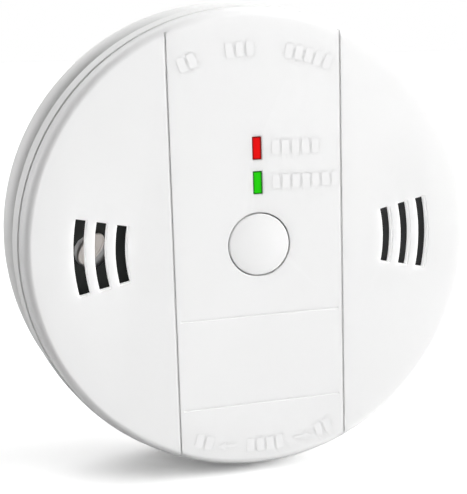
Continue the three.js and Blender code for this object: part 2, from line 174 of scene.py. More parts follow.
def rod(radius, fromX, toX, depth, z, segments):
    bm = bmesh.new()
    turn = Matrix.Rotation(math.pi / 2, 4, "Y")
    bmesh.ops.create_cone(
        bm, cap_ends=True, segments=segments, radius1=radius * mm, radius2=radius * mm,
        depth=(toX - fromX) * mm, matrix=Matrix.Translation(place((fromX + toX) / 2, depth, z)) @ turn,
    )
    return bm


def gather(parts):
    whole = bmesh.new()
    for part in parts:
        mesh = bpy.data.meshes.new("part")
        part.to_mesh(mesh)
        whole.from_mesh(mesh)
        bpy.data.meshes.remove(mesh)
        part.free()
    return whole


def temporaryObject(bm):
    mesh = bpy.data.meshes.new("temporary")
    bm.to_mesh(mesh)
    bm.free()
    obj = bpy.data.objects.new("temporary", mesh)
    scene.collection.objects.link(obj)
    return obj


def evaluatedMesh(obj):
    bpy.context.view_layer.update()
    graph = bpy.context.evaluated_depsgraph_get()
    return bpy.data.meshes.new_from_object(obj.evaluated_get(graph), depsgraph=graph)


# The parts of one call must not overlap each other.
def combine(bm, parts, operation):
    target = temporaryObject(bm)
    tool = temporaryObject(gather(parts))
    modifier = target.modifiers.new("combine", "BOOLEAN")
    modifier.operation = operation
    modifier.solver = "EXACT"
    modifier.object = tool
    mesh = evaluatedMesh(target)
    result = bmesh.new()
    result.from_mesh(mesh)
    for obj in (target, tool):
        old = obj.data
        bpy.data.objects.remove(obj)
        bpy.data.meshes.remove(old)
    bpy.data.meshes.remove(mesh)
    bmesh.ops.remove_doubles(result, verts=result.verts, dist=0.002 * mm)
    bmesh.ops.dissolve_limit(result, angle_limit=math.radians(0.2), verts=result.verts, edges=result.edges)
    return result


def joined(bm, *parts):
    return combine(bm, parts, "UNION")


def carved(bm, *parts):
    return combine(bm, parts, "DIFFERENCE")


def finishPiece(name, bm, material, body, replaced=(), edge=0.12, angle=32):
    mesh = bpy.data.meshes.new(name)
    bm.to_mesh(mesh)
    bm.free()
    obj = bpy.data.objects.new(name, mesh)
    scene.collection.objects.link(obj)
    mesh.materials.append(material)
    mesh.polygons.foreach_set("use_smooth", [True] * len(mesh.polygons))
    if edge:
        bevel = obj.modifiers.new("edge", "BEVEL")
        bevel.width = edge * mm
        bevel.segments = 2
        bevel.limit_method = "ANGLE"
        bevel.angle_limit = math.radians(angle)
        bevel.harden_normals = True
        bevel.use_clamp_overlap = False
        bevel.miter_outer = "MITER_ARC"
    else:
        mesh.set_sharp_from_angle(angle=math.radians(angle))
    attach(obj, body)
    if replaced:
        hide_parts(*replaced)
    return obj


# shader groups

def newGroup(name, inputs, outputs):
    group = bpy.data.node_groups.new(name, "ShaderNodeTree")
    for label, kind, value in inputs:
        socket = group.interface.new_socket(label, in_out="INPUT", socket_type=kind)
        socket.default_value = value
    for label, kind in outputs:
        group.interface.new_socket(label, in_out="OUTPUT", socket_type=kind)
    return group, group.nodes.new("NodeGroupInput"), group.nodes.new("NodeGroupOutput")


def addNode(tree, kind, **settings):
    node = tree.nodes.new(kind)
    for key, value in settings.items():
        setattr(node, key, value)
    return node


def mouldedSurfaceGroup():
    group, source, target = newGroup(
        "mouldedSurface",
        [
            ("Color", "NodeSocketColor", (0.8, 0.8, 0.8, 1)),
            ("Shade", "NodeSocketColor", (0.7, 0.7, 0.7, 1)),
            ("Cloud Scale", "NodeSocketFloat", 40),
            ("Grain Scale", "NodeSocketFloat", 3000),
            ("Roughness", "NodeSocketFloat", 0.45),
            ("Roughness Spread", "NodeSocketFloat", 0.08),
        ],
        [("Color", "NodeSocketColor"), ("Roughness", "NodeSocketFloat"), ("Height", "NodeSocketFloat")],
    )
    link = group.links.new
    where = addNode(group, "ShaderNodeTexCoord")
    cloud = addNode(group, "ShaderNodeTexNoise")
    cloud.inputs["Detail"].default_value = 4
    link(where.outputs["Object"], cloud.inputs["Vector"])
    link(source.outputs["Cloud Scale"], cloud.inputs["Scale"])
    cloudRange = addNode(group, "ShaderNodeMapRange")
    cloudRange.inputs["From Min"].default_value = 0.35
    cloudRange.inputs["From Max"].default_value = 0.7
    link(cloud.outputs["Fac"], cloudRange.inputs["Value"])
    mix = addNode(group, "ShaderNodeMix", data_type="RGBA")
    link(cloudRange.outputs["Result"], mix.inputs["Factor"])
    link(source.outputs["Color"], mix.inputs["A"])
    link(source.outputs["Shade"], mix.inputs["B"])
    grain = addNode(group, "ShaderNodeTexNoise")
    grain.inputs["Detail"].default_value = 3
    grain.inputs["Roughness"].default_value = 0.6
    link(where.outputs["Object"], grain.inputs["Vector"])
    link(source.outputs["Grain Scale"], grain.inputs["Scale"])
    spread = addNode(group, "ShaderNodeMath", operation="MULTIPLY_ADD")
    link(cloud.outputs["Fac"], spread.inputs[0])
    link(source.outputs["Roughness Spread"], spread.inputs[1])
    link(source.outputs["Roughness"], spread.inputs[2])
    link(mix.outputs["Result"], target.inputs["Color"])
    link(spread.outputs["Value"], target.inputs["Roughness"])
    link(grain.outputs["Fac"], target.inputs["Height"])
    return group


def edgeRubGroup():
    group, source, target = newGroup(
        "edgeRub",
        [("Start", "NodeSocketFloat", 0.52), ("End", "NodeSocketFloat", 0.62)],
        [("Mask", "NodeSocketFloat")],
    )
    link = group.links.new
    geometry = addNode(group, "ShaderNodeNewGeometry")
    mapping = addNode(group, "ShaderNodeMapRange")
    link(geometry.outputs["Pointiness"], mapping.inputs["Value"])
    link(source.outputs["Start"], mapping.inputs["From Min"])
    link(source.outputs["End"], mapping.inputs["From Max"])
    where = addNode(group, "ShaderNodeTexCoord")
    breakup = addNode(group, "ShaderNodeTexNoise")
    breakup.inputs["Scale"].default_value = 220
    breakup.inputs["Detail"].default_value = 5
    link(where.outputs["Object"], breakup.inputs["Vector"])
    product = addNode(group, "ShaderNodeMath", operation="MULTIPLY")
    link(mapping.outputs["Result"], product.inputs[0])
    link(breakup.outputs["Fac"], product.inputs[1])
    link(product.outputs["Value"], target.inputs["Mask"])
    return group


mouldedSurface = mouldedSurfaceGroup()
edgeRub = edgeRubGroup()


def startMaterial(name):
    material = bpy.data.materials.new(name)
    material.use_nodes = True
    tree = material.node_tree
    return material, tree, tree.nodes["Principled BSDF"]


def mouldedMaterial(name, finish):
    material, tree, shader = startMaterial(name)
    link = tree.links.new
    surface = addNode(tree, "ShaderNodeGroup", node_tree=mouldedSurface)
    surface.inputs["Color"].default_value = (*finish["color"], 1)
    surface.inputs["Shade"].default_value = (*finish["shade"], 1)
    surface.inputs["Cloud Scale"].default_value = finish["cloudScale"]
    surface.inputs["Grain Scale"].default_value = finish["grainScale"]
    surface.inputs["Roughness"].default_value = finish["roughness"]
    surface.inputs["Roughness Spread"].default_value = finish["spread"]
    rub = addNode(tree, "ShaderNodeGroup", node_tree=edgeRub)
    worn = addNode(tree, "ShaderNodeMix", data_type="RGBA")
    worn.inputs["B"].default_value = (*finish["rubbed"], 1)
    link(rub.outputs["Mask"], worn.inputs["Factor"])
    link(surface.outputs["Color"], worn.inputs["A"])
    link(worn.outputs["Result"], shader.inputs["Base Color"])
    link(surface.outputs["Roughness"], shader.inputs["Roughness"])
    bump = addNode(tree, "ShaderNodeBump")
    bump.inputs["Strength"].default_value = finish["bump"]
    bump.inputs["Distance"].default_value = bumpHeight
    link(surface.outputs["Height"], bump.inputs["Height"])
    link(bump.outputs["Normal"], shader.inputs["Normal"])
    shader.inputs["IOR"].default_value = 1.5
    shader.inputs["Metallic"].default_value = finish.get("metallic", 0)
    if "depth" in finish:
        shader.inputs["Subsurface Weight"].default_value = finish["depth"]
        shader.inputs["Subsurface Scale"].default_value = 2 * mm
        shader.inputs["Subsurface Radius"].default_value = (1, 1, 1)
    return material


finishes = {
    "coverPlastic": {
        "color": (0.885, 0.885, 0.885), "shade": (0.87, 0.87, 0.868), "rubbed": (0.9, 0.9, 0.9),
        "cloudScale": 30, "grainScale": 2600, "roughness": 0.42, "spread": 0.08, "bump": 0.25, "depth": 0.7,
    },
    # painted highlight: the legend pads' colour stands in for the light the raised legends catch
    "legendHighlightPlastic": {
        "color": (0.875, 0.875, 0.875), "shade": (0.86, 0.86, 0.86), "rubbed": (0.89, 0.89, 0.89),
        "cloudScale": 60, "grainScale": 2600, "roughness": 0.45, "spread": 0.06, "bump": 0.2,
    },
    "housingPlastic": {
        "color": (0.86, 0.86, 0.855), "shade": (0.84, 0.84, 0.835), "rubbed": (0.88, 0.88, 0.88),
        "cloudScale": 30, "grainScale": 2200, "roughness": 0.46, "spread": 0.08, "bump": 0.3,
    },
    "blackPlastic": {
        "color": (0.006, 0.006, 0.0065), "shade": (0.004, 0.004, 0.0045), "rubbed": (0.025, 0.025, 0.025),
        "cloudScale": 80, "grainScale": 2600, "roughness": 0.38, "spread": 0.15, "bump": 0.3,
    },
    "creamPlastic": {
        "color": (0.88, 0.83, 0.79), "shade": (0.8, 0.75, 0.71), "rubbed": (0.9, 0.86, 0.82),
        "cloudScale": 120, "grainScale": 2600, "roughness": 0.4, "spread": 0.1, "bump": 0.25,
    },
    "boardMask": {
        "color": (0.005, 0.007, 0.006), "shade": (0.003, 0.004, 0.0035), "rubbed": (0.02, 0.025, 0.02),
        "cloudScale": 60, "grainScale": 1500, "roughness": 0.4, "spread": 0.1, "bump": 0.2,
    },
    "plating": {
        "color": (0.6, 0.6, 0.6), "shade": (0.5, 0.5, 0.5), "rubbed": (0.75, 0.75, 0.75),
        "cloudScale": 200, "grainScale": 4000, "roughness": 0.25, "spread": 0.15, "bump": 0.15, "metallic": 1,
    },
    "brass": {
        "color": (0.55, 0.36, 0.12), "shade": (0.45, 0.28, 0.08), "rubbed": (0.7, 0.5, 0.2),
        "cloudScale": 150, "grainScale": 3000, "roughness": 0.3, "spread": 0.15, "bump": 0.15, "metallic": 1,
    },
    "copper": {
        "color": (0.45, 0.15, 0.06), "shade": (0.35, 0.1, 0.04), "rubbed": (0.6, 0.25, 0.1),
        "cloudScale": 150, "grainScale": 3000, "roughness": 0.35, "spread": 0.1, "bump": 0.2, "metallic": 1,
    },
    "ceramic": {
        "color": (0.8, 0.78, 0.7), "shade": (0.74, 0.71, 0.63), "rubbed": (0.85, 0.83, 0.77),
        "cloudScale": 150, "grainScale": 3000, "roughness": 0.5, "spread": 0.1, "bump": 0.3,
    },
    "capacitorSleeve": {
        "color": (0.012, 0.02, 0.08), "shade": (0.008, 0.014, 0.06), "rubbed": (0.03, 0.04, 0.11),
        "cloudScale": 100, "grainScale": 2500, "roughness": 0.3, "spread": 0.08, "bump": 0.15,
    },
    "resistorBody": {
        "color": (0.55, 0.43, 0.26), "shade": (0.48, 0.36, 0.21), "rubbed": (0.62, 0.5, 0.32),
        "cloudScale": 200, "grainScale": 3000, "roughness": 0.35, "spread": 0.1, "bump": 0.2,
    },
    "labelInk": {
        "color": (0.09, 0.09, 0.1), "shade": (0.06, 0.06, 0.07), "rubbed": (0.2, 0.2, 0.2),
        "cloudScale": 200, "grainScale": 3500, "roughness": 0.5, "spread": 0.06, "bump": 0.1,
    },
    "cellSleeve": {
        "color": (0.03, 0.1, 0.045), "shade": (0.022, 0.08, 0.035), "rubbed": (0.07, 0.16, 0.09),
        "cloudScale": 60, "grainScale": 2500, "roughness": 0.3, "spread": 0.08, "bump": 0.12,
    },
    "labelFilm": {
        "color": (0.8, 0.8, 0.78), "shade": (0.76, 0.76, 0.74), "rubbed": (0.84, 0.84, 0.82),
        "cloudScale": 50, "grainScale": 3500, "roughness": 0.5, "spread": 0.06, "bump": 0.2,
    },
}
materials = {name: mouldedMaterial(name, finish) for name, finish in finishes.items()}


# A painted glow: emission on the vents' walls stands in for the light that soaks through the thin ribs
# between the vents. For each axis, the middle of the glowing region and its reach either way; y is a depth.
paintedVentGlow = {"x": (36, 8), "y": (1.15, 1.05), "z": (0, 10), "strength": 0.32}


def addPaintedVentGlow(material):
    tree = material.node_tree
    shader = tree.nodes["Principled BSDF"]
    where = addNode(tree, "ShaderNodeTexCoord")
    split = addNode(tree, "ShaderNodeSeparateXYZ")
    tree.links.new(where.outputs["Object"], split.inputs[0])
    eitherSide = addNode(tree, "ShaderNodeMath", operation="ABSOLUTE")
    tree.links.new(split.outputs["X"], eitherSide.inputs[0])
    strength = None
    sources = {
        "x": (0, eitherSide.outputs["Value"]), "y": (faceY, split.outputs["Y"]), "z": (0, split.outputs["Z"]),
    }
    for axis, (start, source) in sources.items():
        middle, reach = paintedVentGlow[axis]
        inside = addNode(tree, "ShaderNodeMath", operation="COMPARE")
        inside.inputs[1].default_value = start + middle * mm
        inside.inputs[2].default_value = reach * mm
        tree.links.new(source, inside.inputs[0])
        product = addNode(tree, "ShaderNodeMath", operation="MULTIPLY")
        product.inputs[1].default_value = paintedVentGlow["strength"]
        tree.links.new(inside.outputs["Value"], product.inputs[0])
        if strength:
            tree.links.new(strength, product.inputs[1])
        strength = product.outputs["Value"]
    # painted glow: emission on the vent walls of a cover that is no lamp
    tree.links.new(strength, shader.inputs["Emission Strength"])


addPaintedVentGlow(materials["coverPlastic"])


# Where a lens starts to darken towards its edge, and where it is darkest, in millimetres from the edge.
lensEdge = {"start": 0.42, "dark": 0.12}


def lensMaterial(name, deep, bright, glow, centre, half):
    material, tree, shader = startMaterial(name)
    link = tree.links.new
    where = addNode(tree, "ShaderNodeTexCoord")
    cloud = addNode(tree, "ShaderNodeTexNoise")
    cloud.inputs["Scale"].default_value = 400
    cloud.inputs["Detail"].default_value = 3
    link(where.outputs["Object"], cloud.inputs["Vector"])
    # how far a point is past the lens's edge, in millimetres: below 0 on the lens itself
    split = addNode(tree, "ShaderNodeSeparateXYZ")
    link(where.outputs["Object"], split.inputs[0])
    reach = []
    for axis, middle, halfSize in (("X", 0, half[0]), ("Z", centre * mm, half[1])):
        offset = addNode(tree, "ShaderNodeMath", operation="SUBTRACT")
        offset.inputs[1].default_value = middle
        link(split.outputs[axis], offset.inputs[0])
        distance = addNode(tree, "ShaderNodeMath", operation="ABSOLUTE")
        link(offset.outputs["Value"], distance.inputs[0])
        pastEdge = addNode(tree, "ShaderNodeMath", operation="MULTIPLY_ADD")
        pastEdge.inputs[1].default_value = 1 / mm
        pastEdge.inputs[2].default_value = -halfSize
        link(distance.outputs["Value"], pastEdge.inputs[0])
        reach.append(pastEdge.outputs["Value"])
    nearest = addNode(tree, "ShaderNodeMath", operation="MAXIMUM")
    link(reach[0], nearest.inputs[0])
    link(reach[1], nearest.inputs[1])
    rim = addNode(tree, "ShaderNodeMapRange", interpolation_type="SMOOTHSTEP")
    rim.inputs["From Min"].default_value = -lensEdge["start"]
    rim.inputs["From Max"].default_value = -lensEdge["dark"]
    link(nearest.outputs["Value"], rim.inputs["Value"])
    speckle = addNode(tree, "ShaderNodeMath", operation="MULTIPLY")
    speckle.inputs[1].default_value = 0.15
    link(cloud.outputs["Fac"], speckle.inputs[0])
    depth = addNode(tree, "ShaderNodeMath", operation="MAXIMUM")
    link(rim.outputs["Result"], depth.inputs[0])
    link(speckle.outputs["Value"], depth.inputs[1])
    mix = addNode(tree, "ShaderNodeMix", data_type="RGBA")
    mix.inputs["A"].default_value = (*bright, 1)
    mix.inputs["B"].default_value = (*deep, 1)
    link(depth.outputs["Value"], mix.inputs["Factor"])
    link(mix.outputs["Result"], shader.inputs["Base Color"])
    link(mix.outputs["Result"], shader.inputs["Emission Color"])
    shader.inputs["Emission Strength"].default_value = glow
    shader.inputs["Roughness"].default_value = 0.5
    shader.inputs["Specular IOR Level"].default_value = 0.1
    bump = addNode(tree, "ShaderNodeBump")
    bump.inputs["Strength"].default_value = 0.2
    bump.inputs["Distance"].default_value = bumpHeight
    link(cloud.outputs["Fac"], bump.inputs["Height"])
    link(bump.outputs["Normal"], shader.inputs["Normal"])
    return material


lens = {"halfX": 1.02, "halfZ": 2.52, "corner": 0.2, "front": 0.12, "back": 5.6, "redZ": 21.7, "greenZ": 14}
lensHalf = (lens["halfX"], lens["halfZ"])
redLens = lensMaterial("redLens", (0.2, 0, 0), (0.7, 0, 0), 0.2, lens["redZ"], lensHalf)
greenLens = lensMaterial("greenLens", (0.004, 0.13, 0), (0.012, 0.55, 0), 0.18, lens["greenZ"], lensHalf)
print("materials made")

# camera, floor and light

cameraView = {"place": (-74.3, -249.2, 47.4), "target": (7.6, 0, -4.7), "roll": -1.14, "lens": 85.5,
              "shift": (-0.118, 0.031)}


def addCamera():
    camera = bpy.data.objects.new("camera", bpy.data.cameras.new("camera"))
    scene.collection.objects.link(camera)
    spot = place(*cameraView["place"])
    forward = place(*cameraView["target"]) - spot
    look = forward.to_track_quat("-Z", "Y").to_matrix().to_4x4()
    roll = Matrix.Rotation(math.radians(cameraView["roll"]), 4, "Z")
    camera.matrix_world = Matrix.Translation(spot) @ look @ roll
    camera.data.lens = cameraView["lens"]
    camera.data.shift_x, camera.data.shift_y = cameraView["shift"]
    camera.data.clip_start = 0.01
    camera.data.dof.use_dof = False
    scene.camera = camera


# Distant lights: the direction each comes from, how wide it looks in degrees, and its strength.
lights = {
    "front": {"from": (0.7, -0.7, 0.27), "width": 35, "strength": 1.6},
    "key": {"from": (0.94, -0.34, 0.27), "width": 35, "strength": 3.7},
    "top": {"from": (0, -0.15, 1), "width": 60, "strength": 0.75},
    "behind": {"from": (0, 0.7, 0.7), "width": 60, "strength": 1.4},
    "left": {"from": (-0.85, 0.5, 0.1), "width": 60, "strength": 2},
}


def addLights():
    for name, light in lights.items():
        data = bpy.data.lights.new(name, "SUN")
        data.angle = math.radians(light["width"])
        data.energy = light["strength"]
        obj = bpy.data.objects.new(name, data)
        scene.collection.objects.link(obj)
        obj.rotation_euler = Vector(light["from"]).to_track_quat("Z", "Y").to_euler()


floorLook = {"half": 4, "thrown": (0.45, 0.45, 0.45), "shown": (1.35, 1.35, 1.35), "roughness": 0.8}


def addFloor():
    bm = bmesh.new()
    half = floorLook["half"]
    bottom = -plateRadius * mm
    corners = [(-half, -half), (half, -half), (half, half), (-half, half)]
    bm.faces.new([bm.verts.new((x, y, bottom)) for x, y in corners])
    mesh = bpy.data.meshes.new("floor")
    bm.to_mesh(mesh)
    bm.free()
    floor = bpy.data.objects.new("floor", mesh)
    scene.collection.objects.link(floor)
    material, tree, shader = startMaterial("floorPaint")
    shader.inputs["Roughness"].default_value = floorLook["roughness"]
    # the floor looks white, and throws back less light than it shows
    path = addNode(tree, "ShaderNodeLightPath")
    paint = addNode(tree, "ShaderNodeMix", data_type="RGBA")
    paint.inputs["A"].default_value = (*floorLook["thrown"], 1)
    paint.inputs["B"].default_value = (*floorLook["shown"], 1)
    tree.links.new(path.outputs["Is Camera Ray"], paint.inputs["Factor"])
    tree.links.new(paint.outputs["Result"], shader.inputs["Base Color"])
    mesh.materials.append(material)


def setWorld():
    world = bpy.data.worlds.new("studio")
    world.use_nodes = True
    tree = world.node_tree
    path = addNode(tree, "ShaderNodeLightPath")
    strength = addNode(tree, "ShaderNodeMapRange")
    strength.inputs["To Min"].default_value = 0.01
    tree.links.new(path.outputs["Is Camera Ray"], strength.inputs["Value"])
    background = tree.nodes["Background"]
    background.inputs["Color"].default_value = (1, 1, 1, 1)
    tree.links.new(strength.outputs["Result"], background.inputs["Strength"])
    scene.world = world
    scene.view_settings.view_transform = "Standard"


addCamera()
addFloor()
addLights()
setWorld()
print("camera, floor and light set")

# front cover

cover = {
    "faceRadius": 50.3, "edgeWidth": 1.9, "edgeDepth": 2.4, "depth": 4.8, "wall": 2.2,
    "lipWidth": 1, "lipDraft": 0.1, "lipRoot": 3, "filletWidth": 1.4, "joint": 2, "through": 3,
    "grooveX": 19.8, "grooveWidth": 0.45, "grooveDepth": 0.35, "grooveReach": 60,
    "crossGrooves": (-16.3, -37), "crossWidth": 0.35, "crossDepth": 0.18, "crossEnd": 18.7,
    "ventInner": 30.05, "ventPitch": 4.52, "ventWidth": 2.5, "ventAngle": 11.9,
    "buttonHole": 7.3, "guideInner": 8.3, "guideOuter": 9.3, "guideBack": 4.2,
    "hoodX": 1.9, "hoodZ": 3.5, "hoodBack": 4.4, "pocketX": 1.4, "pocketZ": 2.95, "pocketBack": 5,
    "windowX": 1.1, "windowZ": 2.6, "windowCorner": 0.15,
    "postRadius": 3, "postBack": 12, "postBore": 1.5, "postBoreFront": 3.5,
}
screwPlaces = ((-32, 29), (32, 29), (0, -41))


def rodAlongDepth(radius, front, back, segments, x=0, z=0):
    return turnOutline([(0, front), (radius, front), (radius, back), (0, back)], segments, x=x, z=z)


def coverShell():
    edge = quarterRound(cover["faceRadius"], 0, cover["edgeWidth"], cover["edgeDepth"], 12)
    inner = coverRadius - cover["lipWidth"]
    outline = [
        (0, 0), *edge, (coverRadius, cover["depth"]), (inner, cover["depth"]),
        (inner - cover["lipDraft"], cover["lipRoot"]), (inner - cover["filletWidth"], cover["wall"]),
        (0, cover["wall"]),
    ]
    return turnOutline(outline, 240)


def ventCuts():
    angle, width = cover["ventAngle"], cover["ventWidth"]
    for side in (0, 180):
        for i in range(3):
            inner = cover["ventInner"] + i * cover["ventPitch"]
            sector = ringSector(inner, inner + width, side - angle, side + angle)
            yield prism(sector, -past, cover["through"])


def grooveCuts():
    half, reach = cover["grooveWidth"] / 2, cover["grooveReach"]
    for x in (-cover["grooveX"], cover["grooveX"]):
        yield brick((x - half, -past, -reach), (x + half, cover["grooveDepth"], reach))
    half, reach = cover["crossWidth"] / 2, cover["crossEnd"]
    for z in cover["crossGrooves"]:
        yield brick((-reach, -past, z - half), (reach, cover["crossDepth"], z + half))


def makeCover():
    joint, through = cover["joint"], cover["through"]
    posts = [rodAlongDepth(cover["postRadius"], joint, cover["postBack"], 32, x, z) for x, z in screwPlaces]
    inner, outer, guideBack = cover["guideInner"], cover["guideOuter"], cover["guideBack"]
    guideOutline = [(inner, joint), (outer, joint), (outer, guideBack), (inner, guideBack)]
    guide = turnOutline(guideOutline, 96, loop=True)
    hoodX, hoodZ, pocketX, pocketZ = cover["hoodX"], cover["hoodZ"], cover["pocketX"], cover["pocketZ"]
    hoods = []
    cuts = []
    for name in ("red_led", "green_led"):
        low, high = nodeBox(name)
        middle = (low[2] + high[2]) / 2
        hoods.append(brick((-hoodX, joint, middle - hoodZ), (hoodX, cover["hoodBack"], middle + hoodZ)))
        window = roundedRectangle(cover["windowX"], cover["windowZ"], cover["windowCorner"], z=middle)
        cuts.append(prism(window, -past, through))
        pocketEnd = cover["pocketBack"]
        cuts.append(brick((-pocketX, through, middle - pocketZ), (pocketX, pocketEnd, middle + pocketZ)))
    shell = joined(coverShell(), *posts, guide, *hoods)
    for x, z in screwPlaces:
        postEnd = cover["postBack"] + past
        cuts.append(rodAlongDepth(cover["postBore"], cover["postBoreFront"], postEnd, 24, x, z))
    cuts.append(rodAlongDepth(cover["buttonHole"], -past, through, 128))
    shell = carved(shell, *cuts, *ventCuts(), *grooveCuts())
    return finishPiece("frontCover", shell, materials["coverPlastic"], "alarm",
                       ["front_cover"], edge=0.08)


makeCover()
print("front cover made")

# Plain pads where the real cover carries its legends, and two arrows for the way it turns. Their own colour
# is a painted highlight for the light the raised legends catch.
marks = {
    "height": 3.1, "width": 1.75, "corner": 0.35, "pitch": 2.35, "front": -0.012, "back": 0.03,
    "topRadius": 43.5, "topGroups": ((2, 112), (3, 97.5), (5, 79.5)),
    "bottomRadius": 47.2, "bottomGroups": ((2, 251), (4, 266), (2, 286.5)),
    "rowX": 4.3, "rows": ((5, lens["redZ"]), (7, lens["greenZ"])), "arrowZ": -46.6,
}


def padOutline(x=0, z=0):
    return roundedRectangle(marks["width"] / 2, marks["height"] / 2, marks["corner"], x, z, 3)


def padRow(count, z):
    return [padOutline(marks["rowX"] + i * marks["pitch"], z) for i in range(count)]


# A row of pads along an arc, with their tops outwards when it runs clockwise and inwards when it doesn't.
def padArc(count, radius, startAngle, direction):
    pads = []
    step = math.degrees(marks["pitch"] / radius)
    for i in range(count):
        angle = math.radians(startAngle + direction * i * step)
        turn = angle - math.pi / 2 if direction < 0 else angle + math.pi / 2
        pad = []
        for x, z in padOutline():
            pad.append((radius * math.cos(angle) + x * math.cos(turn) - z * math.sin(turn),
                        radius * math.sin(angle) + x * math.sin(turn) + z * math.cos(turn)))
        pads.append(pad)
    return pads


def arrow(x, direction):
    length, headLength, shaft, head = 4.4, 1.8, 0.3, 1.1
    neck = length - headLength
    points = [
        (0, shaft), (neck, shaft), (neck, head), (length, 0), (neck, -head), (neck, -shaft), (0, -shaft),
    ]
    return [(x + direction * along, marks["arrowZ"] + across) for along, across in points]


def makeLegends():
    outlines = []
    for count, start in marks["topGroups"]:
        outlines.extend(padArc(count, marks["topRadius"], start, -1))
    for count, z in marks["rows"]:
        outlines.extend(padRow(count, z))
    for count, start in marks["bottomGroups"]:
        outlines.extend(padArc(count, marks["bottomRadius"], start, 1))
    outlines.extend([arrow(-6.6, -1), arrow(7.2, 1)])
    pads = gather([prism(outline, marks["front"], marks["back"]) for outline in outlines])
    return finishPiece("legendPads", pads, materials["legendHighlightPlastic"], "alarm", edge=0)


makeLegends()

# test button

button = {"radius": 7, "edge": 0.3, "flangeRadius": 7.9, "flangeFront": 2.6, "flangeBack": 3.2, "stem": 1.6,
          "stemBack": 3.9}


def makeButton():
    radius, edge = button["radius"], button["edge"]
    outline = [
        (0, 0), *quarterRound(radius - edge, 0, edge, edge, 6), (radius, button["flangeFront"]),
        (button["flangeRadius"], button["flangeFront"]), (button["flangeRadius"], button["flangeBack"]),
        (button["stem"], button["flangeBack"]), (button["stem"], button["stemBack"]), (0, button["stemBack"]),
    ]
    return finishPiece("testButton", turnOutline(outline, 128), materials["coverPlastic"], "button",
                       ["test_button"], edge=0)


makeButton()

# indicator lamps

leads = {"half": 0.25, "offset": 1.27, "front": 6.3}
lampFoot = {"x": 1.2, "z": 2.75, "corner": 0.2, "front": 5.5, "back": 6.4}


def makeLamp(name, node, material):
    low, high = nodeBox(node)
    middle = (low[2] + high[2]) / 2
    body = roundedRectangle(lens["halfX"], lens["halfZ"], lens["corner"], z=middle)
    foot = roundedRectangle(lampFoot["x"], lampFoot["z"], lampFoot["corner"], z=middle)
    half = leads["half"]
    pins = []
    for z in (middle - leads["offset"], middle + leads["offset"]):
        pins.append(brick((-half, leads["front"], z - half), (half, high[1], z + half)))
    whole = joined(prism(body, lens["front"], lens["back"]),
                   prism(foot, lampFoot["front"], lampFoot["back"]), *pins)
    return finishPiece(name, whole, material, "alarm", [node], edge=0.06)


makeLamp("redLamp", "red_led", redLens)
makeLamp("greenLamp", "green_led", greenLens)
print("button and lamps made")

# rear housing

housing = {
    "lipInner": 50.4, "lipOuter": 51.1, "lipFront": 3.6, "shelf": 9, "seam": 5.1, "rimFront": 52.9,
    "rimBack": 10.7, "radius": 48.6, "wall": 1.8, "back": 25.5,
    "bayX": 28.6, "bayZ": 22.7, "bayWall": 1.2, "bayFront": 8.5,
    "latchX": 7, "latchZ": 1.6, "latchCorner": 1, "latchDepth": 1.1, "recessCorner": 0.8, "boreFront": 11,
    "bossRadius": 3.8, "bossFront": 12.3, "bossBore": 1.6, "headBore": 3, "screwSeat": 17,
    "lugAngles": (30, 150, 270), "lugHalfAngle": 6, "lugRoot": 0.4, "lugReach": 1.4,
    "lugFront": 17, "lugBack": 19,
}
door = {"x": 29.4, "z": 24, "corner": 0.6, "front": 24.3, "hingeZ": 25.6, "hingeDepth": 24.6, "knuckle": 0.9,
        "pin": 0.5, "pinReach": 1.3, "from": 12, "to": 20, "gap": 0.3}


def hingeSpans():
    for side in (-1, 1):
        yield sorted((side * door["from"], side * door["to"]))


def housingShell():
    inner = housing["radius"] - housing["wall"]
    floor = housing["back"] - housing["wall"]
    back = housing["back"]
    outline = [
        (0, floor), (inner, floor), (inner, housing["shelf"]), (housing["lipInner"], housing["shelf"]),
        (housing["lipInner"], housing["lipFront"]), (housing["lipOuter"], housing["lipFront"]),
        (housing["lipOuter"], housing["seam"]), (housing["rimFront"], housing["seam"]),
        (rimRadius, housing["rimBack"]), (housing["radius"], housing["rimBack"]), (housing["radius"], back),
        (0, back),
    ]
    return turnOutline(outline, 240)


# The door's hinge seats: a block behind each knuckle, with room cut in it for the knuckle to turn.
hingeSeat = {"margin": 2, "front": 21.9, "low": 23.95, "high": 27.8, "clear": 0.4, "cutFront": 23.3,
             "cutLow": 24.1, "cutHigh": 27}


